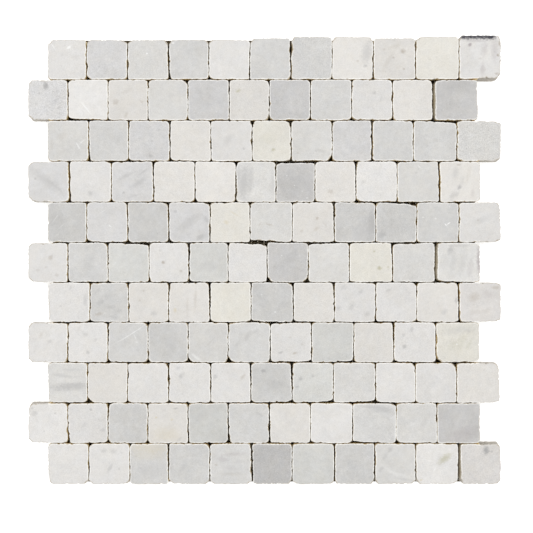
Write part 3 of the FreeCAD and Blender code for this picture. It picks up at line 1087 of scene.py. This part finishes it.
# %% Marks on the arrises
EDGE_MARKS = read_table(MARK_COLUMNS, """
1 1 -.25 .99 1.4 .5 0 grey .85
1 1 .3 1 1.6 .35 0 brown .6
1 1 -.93 .93 1.4 .4 45 grey .85
1 1 -1 .6 .4 1 0 brown .6
1 2 -.3 .99 .8 .5 0 brown .5
1 2 .2 .99 .8 .5 0 grey .6
1 2 .48 .99 .8 .5 0 grey .9
1 10 -.45 .99 1.4 .4 0 brown .5
1 10 .3 .99 1.4 .4 0 brown .45
1 11 -.8 .93 3.5 1.6 0 slate 1
1 11 -.45 .93 4 1.6 0 slate 1
1 11 0 .93 5 1.6 0 slate 1
1 11 .38 .93 4 1.6 0 slate 1
1 11 .55 .92 2.4 1.5 0 slate 1
1 11 .95 .62 .9 1.8 0 brown .6
1 11 .85 .1 .7 .9 0 brown .7
1 11 .97 -.2 .6 .9 0 brown .7
1 11 .8 -.75 1.6 .8 0 brown .45
2 11 .97 .55 .4 1.8 0 brown .6
2 11 .99 -.4 .5 1.4 0 brown .55
6 11 .98 .2 .6 9 0 mauve .6
11 1 .1 -.99 2 .4 0 brown .45
11 2 -.3 -.99 1.6 .4 0 brown .5
11 3 -.2 -.99 1.4 .5 0 brown .55
11 3 .4 -.99 2.4 .4 0 brown .45
11 5 0 -.99 6 .4 0 brown .45
11 7 -.5 -.99 1.2 .4 0 brown .55
11 9 .2 -.99 4 .4 0 brown .45
11 10 -.8 -.97 1.4 .5 0 brown .5
11 11 .5 -.99 3 .5 0 brown .6
11 11 .98 .7 .5 1.2 0 brown .6
11 11 .98 -.2 .4 4 0 mauve .5
""")
print("marks:", len(FACE_MARKS), "on faces,", len(EDGE_MARKS), "on arrises")

# %% Clouds, mottles and specks
def centred(tree, value, strength):
    """A noise about 0.5 turned into a change about 0: (value - 0.5) * strength."""
    return calculate(tree, "MULTIPLY", calculate(tree, "SUBTRACT", value, 0.5), strength)


# The scales of the marble's noises in waves a metre
CLOUDS, MOTTLES, SPECKS, GRAIN, GLINTS = 70, 330, 450, 1600, 1900


def marble_shade(tree, place):
    """How much lighter or darker than its tone the stone is at a place: clouds, mottles and
    grain, more so on grey stones than on white ones, dark specks and bright glints."""
    grey = read_attribute(tree, "greyness")
    strength = calculate(tree, "MULTIPLY_ADD", grey, 0.12, 0.15)
    coarse = calculate(tree, "MULTIPLY", read_attribute(tree, "coarseness"), 0.42)
    shade = centred(tree, noise(tree, place, CLOUDS, 4.0, 0.55, 0.5), strength)
    mottles = centred(tree, noise(tree, place, MOTTLES, 4.0, 0.6), strength)
    grain = centred(tree, noise(tree, place, GRAIN, 2.0, 0.8), coarse)
    for pattern in (mottles, grain, 1.0):
        shade = calculate(tree, "ADD", shade, pattern)
    speck = ramp(tree, noise(tree, place, SPECKS, 2.0, 0.6), 0.60, 0.76, 0.0, -0.06)
    shade = calculate(tree, "ADD", shade, speck)
    glint = ramp(tree, noise(tree, place, GLINTS, 0.0), 0.75, 0.83)
    return calculate(tree, "MULTIPLY_ADD", glint, calculate(tree, "MULTIPLY", grey, 0.25), shade)


# %% Marks over the marble
def put_marks(tree, marks, number, colour):
    """The marks of a row over its colour. In a mark's own frame, turned and scaled to it, the
    distance from its middle is 1 at its edge, and noise breaks that edge."""
    on_stone = read_attribute(tree, "on_stone", "Vector")
    fray = centred(tree, noise(tree, on_stone, 700, 4.0, 0.65), 1.8)
    for row, place, right, up, long, short, turn, stain, strength in marks:
        if row != number:
            continue
        half = half_sizes[(row - 1) * ROW_LENGTH + place - 1]
        middle = (place * STONE_APART + right * half[0], up * half[1], 0.0)
        inputs = {
            "Vector": on_stone,
            "Location": middle,
            "Rotation": (0.0, 0.0, math.radians(turn)),
            "Scale": (long * MM, short * MM, 2 * MM),
        }
        own = add_node(tree, "ShaderNodeMapping", inputs, vector_type="TEXTURE").outputs[0]
        away = add_node(tree, "ShaderNodeVectorMath", {0: own}, operation="LENGTH").outputs["Value"]
        away = calculate(tree, "ADD", away, fray)
        share = ramp(tree, away, 0.2, 1.5, strength, 0.0)
        colour = mix_colours(tree, share, colour, (*paint(*STAINS[stain]), 1.0))
    return colour


# %% The colour of a face
WARM = (1.007, 1.0, 0.988, 1.0)
COOL = (0.995, 1.0, 1.012, 1.0)


def face_colour(tree, place, number):
    """The marble itself: the stone's tone, shaded, a little warmer or cooler from place to
    place, and with its marks."""
    tone = read_attribute(tree, "tone", "Vector")
    scaled = {0: tone, 3: marble_shade(tree, place)}
    colour = add_node(tree, "ShaderNodeVectorMath", scaled, operation="SCALE").outputs[0]
    warmth = ramp(tree, noise(tree, place, 160, 3.0, 0.6), 0.3, 0.7)
    colour = mix_colours(tree, 1.0, colour, mix_colours(tree, warmth, COOL, WARM), "MULTIPLY")
    return put_marks(tree, FACE_MARKS, number, colour)


# %% Powdered arrises with a painted highlight in the joints, and dirty chips
# In the joints the pale rim is worn marble with a painted highlight on it.
JOINT_RIM_HIGHLIGHT = (0.96, 0.945, 0.92, 1.0)
OUTER_RIM = (*paint(221, 216, 208), 1.0)
CHIP_DIRT = (*paint(176, 162, 140), 1.0)


def worn_and_highlit_colour(tree, place, colour):
    """The marble with pale, powdered arrises, paler still in the joints as a painted highlight, and
    dirt in their chips.
    """
    closed = read_attribute(tree, "closed")
    rim = mix_colours(tree, closed, OUTER_RIM, JOINT_RIM_HIGHLIGHT)
    share = ramp(tree, noise(tree, place, 900, 3.0, 0.6), 0.35, 0.6, 0.35, 1.0)
    share = calculate(tree, "MULTIPLY", read_attribute(tree, "wear_and_highlight"), share)
    colour = mix_colours(tree, share, colour, rim)
    dirt = ramp(tree, noise(tree, place, 700, 3.0, 0.6), 0.4, 0.6, 0.1, 0.8)
    dirt = calculate(tree, "MULTIPLY", read_attribute(tree, "chipped"), dirt)
    return mix_colours(tree, dirt, colour, CHIP_DIRT)


# %% Dust and painted shade down the sides
# Side colours: dust, and painted shade that turns browner and darker with depth in the joints.
JOINT_DUST_AND_SHADE = (0.76, 0.655, 0.41, 1.0)
DEEP_DUST_AND_SHADE = (0.71, 0.52, 0.18, 1.0)
ROOMY_DUST_AND_SHADE = (0.62, 0.57, 0.47, 1.0)
ROOMY_DEEP_DUST_AND_SHADE = (0.54, 0.485, 0.38, 1.0)
OUTER_DUST_AND_SHADE = (*paint(164, 156, 143), 1.0)


def dust_and_shade_colour(tree, place, colour):
    """The marble with dust and painted shade down its sides: pale outside and where a joint is roomy
    or ends at the edge of the sheet, and browner and darker down in narrow joints."""
    depth = read_attribute(tree, "depth")
    closed = read_attribute(tree, "closed")
    patchy = ramp(tree, noise(tree, place, 500, 3.0, 0.6), 0.3, 0.7, 0.75, 1.0)
    roomy = read_attribute(tree, "roomy")
    upper = mix_colours(tree, roomy, JOINT_DUST_AND_SHADE, ROOMY_DUST_AND_SHADE)
    deep = mix_colours(tree, roomy, DEEP_DUST_AND_SHADE, ROOMY_DEEP_DUST_AND_SHADE)
    for dust_and_shade, first, last, where in (
        (OUTER_DUST_AND_SHADE, 0.2, 0.9, calculate(tree, "SUBTRACT", 1.0, closed)),
        (upper, 0.1, 0.4, closed),
        (deep, 0.7, 2.4, closed),
    ):
        share = calculate(tree, "MULTIPLY", ramp(tree, depth, first, last), patchy)
        share = calculate(tree, "MULTIPLY", share, where)
        colour = mix_colours(tree, share, colour, dust_and_shade)
    return colour


# %% The finish of each row
def marble_material(number):
    """The finish of one row's stones."""
    material, shader = new_material(f"marble_row_{number:02}")
    tree = material.node_tree
    place = read_attribute(tree, "in_block", "Vector")
    colour = worn_and_highlit_colour(tree, place, face_colour(tree, place, number))
    colour = put_marks(tree, EDGE_MARKS, number, colour)
    tree.links.new(dust_and_shade_colour(tree, place, colour), shader.inputs["Base Color"])
    shader.inputs["Roughness"].default_value = 0.62
    shader.inputs["Specular IOR Level"].default_value = 0.3
    height = calculate(tree, "ADD", noise(tree, place, 700, 4.0, 0.65), noise(tree, place, 2600))
    inputs = {"Height": height, "Strength": 0.35, "Distance": 0.06 * MM}
    bump = add_node(tree, "ShaderNodeBump", inputs)
    tree.links.new(bump.outputs[0], shader.inputs["Normal"])
    return material


for number, piece in enumerate(row_pieces, start=1):
    piece.data.materials.append(marble_material(number))
print("marble materials:", len(row_pieces))

# %% [markdown]
# ## The mesh backing
#
# The mesh is woven of coated glass yarn: flat strands that pass over and under each other. A
# strand is a flat ellipse, squared off by a power of its cosine and carried along a line whose
# height is a cosine too, with one half wave from crossing to crossing. The strands across swing
# the other way, and their upper sides are dark brown: the adhesive that holds the stones, and
# painted shade that keeps the joints dark along them.

# %% Find the strands
def strand_boxes(name):
    """The lowest and highest corner of each strand of a layer."""
    corners, triangles = read_triangles(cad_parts[name])
    labels = solid_labels(corners, triangles)
    solids = [corners[triangles[labels == label]].reshape(-1, 3) for label in np.unique(labels)]
    return np.array([solid.min(0) for solid in solids]), np.array([solid.max(0) for solid in solids])


# %% Weave a layer
STRAND_SIDES = 6
SQUARENESS = 0.3


def woven_layer(name, along, pitch, first_crossing, swing_sign):
    """The strands of a layer that run along an axis. At a distance s along a strand its height is
    middle + swing * cos(pi * (s - first crossing) / pitch), with the sign turned every strand."""
    low, high = strand_boxes(name)
    side = 1 - along
    order = np.argsort(low[:, side])
    low, high = low[order], high[order]
    thickness = (high - low)[0, 2]
    stops = np.arange(first_crossing - pitch / 2, high[0, along], pitch / 2)
    stops = np.clip(np.append(stops, high[0, along]), low[0, along], high[0, along])
    stops = np.unique(stops)
    turns = np.arange(STRAND_SIDES) / STRAND_SIDES * 2 * math.pi
    signs = swing_sign * (-1.0) ** np.arange(len(low))
    wave = np.cos(math.pi * (stops - first_crossing) / pitch)
    centre = thickness + signs[:, None] * thickness / 2 * wave
    half_width = (high - low)[:, side, None, None] / 2
    width_share = np.sign(np.cos(turns)) * np.abs(np.cos(turns)) ** SQUARENESS
    points = np.empty((len(low), len(stops), STRAND_SIDES, 3))
    points[..., along] = stops[None, :, None]
    points[..., side] = ((low + high)[:, side] / 2)[:, None, None] + half_width * width_share
    points[..., 2] = centre[:, :, None] + thickness / 2 * np.sin(turns)
    return points


def strand_faces(strands, stops):
    """Quads along each strand and two more over each end."""
    here = np.arange(STRAND_SIDES)
    after = (here + 1) % STRAND_SIDES
    start = np.arange(stops - 1)[:, None] * STRAND_SIDES
    beyond = start + STRAND_SIDES
    sides = np.stack([start + here, start + after, beyond + after, beyond + here], -1)
    cap = np.array([[3, 2, 1, 0], [5, 4, 3, 0]])
    far_cap = (stops - 1) * STRAND_SIDES + cap[:, ::-1]
    one = np.concatenate([sides.reshape(-1, 4), cap, far_cap])
    shift = np.arange(strands)[:, None, None] * stops * STRAND_SIDES
    return (one + shift).reshape(-1, 4)


# %% Make the two layers
def mesh_piece(name, along, other, swing_sign):
    """One layer of the mesh as a piece that stands for its node."""
    low, high = strand_boxes(other)
    crossings = np.sort((low + high)[:, along] / 2)
    pitch = crossings[1] - crossings[0]
    points = woven_layer(name, along, pitch, crossings[0], swing_sign)
    faces = strand_faces(points.shape[0], points.shape[1])
    if along == 1:
        faces = faces[:, ::-1]
    piece = make_piece(f"woven_{name}", points.reshape(-1, 3), faces)
    upward = np.sin(np.arange(STRAND_SIDES) / STRAND_SIDES * 2 * math.pi)
    adhesive_and_shade = np.clip(upward * (1 - along), 0, 1)
    store(piece, "adhesive_and_shade", "FLOAT", np.broadcast_to(adhesive_and_shade, points.shape[:3]))
    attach(piece, "root")
    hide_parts(name)
    return piece


mesh_pieces = [
    mesh_piece("mesh_lengthwise", 1, "mesh_crosswise", 1.0),
    mesh_piece("mesh_crosswise", 0, "mesh_lengthwise", -1.0),
]
print("quads in the mesh:", [len(piece.data.polygons) for piece in mesh_pieces])

# %% The coated yarn
def yarn_material():
    """Coated yarn: off-white, a little glossy, darker in the grooves between its filaments as a
    painted shade.
    """
    material, shader = new_material("coated_yarn")
    tree = material.node_tree
    place = add_node(tree, "ShaderNodeTexCoord", {}).outputs["Object"]
    filaments = noise(tree, place, 2400, 2.0)
    colour = mix_colours(tree, filaments, (0.78, 0.70, 0.54, 1.0), (0.95, 0.90, 0.78, 1.0))
    # The upper sides of the strands across turn dark brown: adhesive, and painted shade in the joints.
    colour = mix_colours(tree, read_attribute(tree, "adhesive_and_shade"), colour, (0.12, 0.09, 0.04, 1.0))
    tree.links.new(colour, shader.inputs["Base Color"])
    shader.inputs["Roughness"].default_value = 0.45
    return material


yarn = yarn_material()
for piece in mesh_pieces:
    piece.data.materials.append(yarn)

# %% [markdown]
# ## Floor, light and camera
#
# The sheet lies on a light table, as for a catalogue picture: the paper round it glows, so that
# no shadow shows. Dark cards under the sheet let no light up through the joints, and their near
# black is painted shade at the joints' bottom: one a row and one a row joint, cut a little smaller,
# to follow the stepped ends. Only the lowest reaches past the sheet, because the camera sees the
# floor there through the joints. The camera looks straight down, a little to the right of the
# sheet's middle and below it.

# %% The light table
FLOOR_SIZE = 4.0
CARD_INSET = 1.2 * MM
CARD_BEYOND = 0.3 * MM
PAPER_GLOW = 0.5


def flat_sheets(name, lows, highs, height, colour, glow=0.0):
    """Level rectangles at a height, as one stage piece: no part of the object."""
    count = len(lows)
    corners = np.array([[lows[:, 0], lows[:, 1]], [highs[:, 0], lows[:, 1]],
                        [highs[:, 0], highs[:, 1]], [lows[:, 0], highs[:, 1]]])
    corners = np.moveaxis(corners, 2, 0).reshape(-1, 2)
    corners = np.column_stack([corners, np.full(len(corners), height)])
    sheets = make_piece(name, corners, np.arange(count * 4).reshape(-1, 4))
    material, shader = new_material(name)
    shader.inputs["Base Color"].default_value = (*colour, 1.0)
    shader.inputs["Roughness"].default_value = 0.9
    shader.inputs["Emission Color"].default_value = (1.0, 1.0, 1.0, 1.0)
    shader.inputs["Emission Strength"].default_value = glow
    sheets.data.materials.append(material)


def light_table():
    """White glowing paper, and dark cards under the rows, their near black a painted shade in the
    joints.
    """
    half = np.full((1, 2), FLOOR_SIZE / 2)
    flat_sheets("white_paper", -half, half, -0.06 * MM, (0.92, 0.92, 0.92), PAPER_GLOW)
    boxes = np.array([[list(corner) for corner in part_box(name)] for name in ROWS])
    lows, highs = boxes[:, 0, :2] + CARD_INSET, boxes[:, 1, :2] - CARD_INSET
    lows[-1, 1] -= CARD_INSET + CARD_BEYOND
    joint_lows = np.column_stack([np.maximum(lows[:-1, 0], lows[1:, 0]), highs[1:, 1]])
    joint_highs = np.column_stack([np.minimum(highs[:-1, 0], highs[1:, 0]), lows[:-1, 1]])
    lows, highs = np.concatenate([lows, joint_lows]), np.concatenate([highs, joint_highs])
    # Their near-black brown is painted shade at the bottom of the joints.
    flat_sheets("dark_shade_cards", lows, highs, -0.02 * MM, (0.07, 0.052, 0.024))


light_table()

# %% Lamps and the white room
LIGHT_STRENGTH = 0.9
LAMP_POWER = 4.3


def soft_light(name, place, size, power):
    """A square area light that looks at the sheet."""
    lamp = bpy.data.lights.new(name, "AREA")
    lamp.size = size
    lamp.energy = power
    light = bpy.data.objects.new(name, lamp)
    light.location = place
    light.rotation_euler = (-(light.location)).to_track_quat("-Z", "Y").to_euler()
    bpy.context.scene.collection.objects.link(light)


def white_room():
    """Even light from all around."""
    world = bpy.data.worlds.new("white_room")
    world.use_nodes = True
    background = world.node_tree.nodes["Background"]
    background.inputs["Color"].default_value = (1.0, 1.0, 1.0, 1.0)
    background.inputs["Strength"].default_value = LIGHT_STRENGTH
    bpy.context.scene.world = world


soft_light("left_softbox", (-0.9, 0.5, 1.3), 1.0, LAMP_POWER)
soft_light("right_softbox", (0.9, 0.5, 1.3), 1.0, LAMP_POWER)
white_room()

# %% The camera
PIXEL = 0.6375 * MM
PICTURE_PIXELS = 533
CAMERA_HEIGHT = 0.65
CAMERA_OFFSET = (2.5 * PIXEL, -4.6 * PIXEL)


def overhead_camera():
    """The camera, looking straight down, with the picture's width at the stones' faces."""
    lens = bpy.data.cameras.new("overhead")
    lens.sensor_fit = "HORIZONTAL"
    lens.angle = 2 * math.atan(PICTURE_PIXELS * PIXEL / 2 / CAMERA_HEIGHT)
    camera = bpy.data.objects.new("overhead", lens)
    camera.location = (*CAMERA_OFFSET, cad_bounds[1].z + CAMERA_HEIGHT)
    bpy.context.scene.collection.objects.link(camera)
    bpy.context.scene.camera = camera
    print("angle of view:", round(math.degrees(lens.angle), 2))


overhead_camera()
bpy.context.scene.view_settings.view_transform = "Standard"
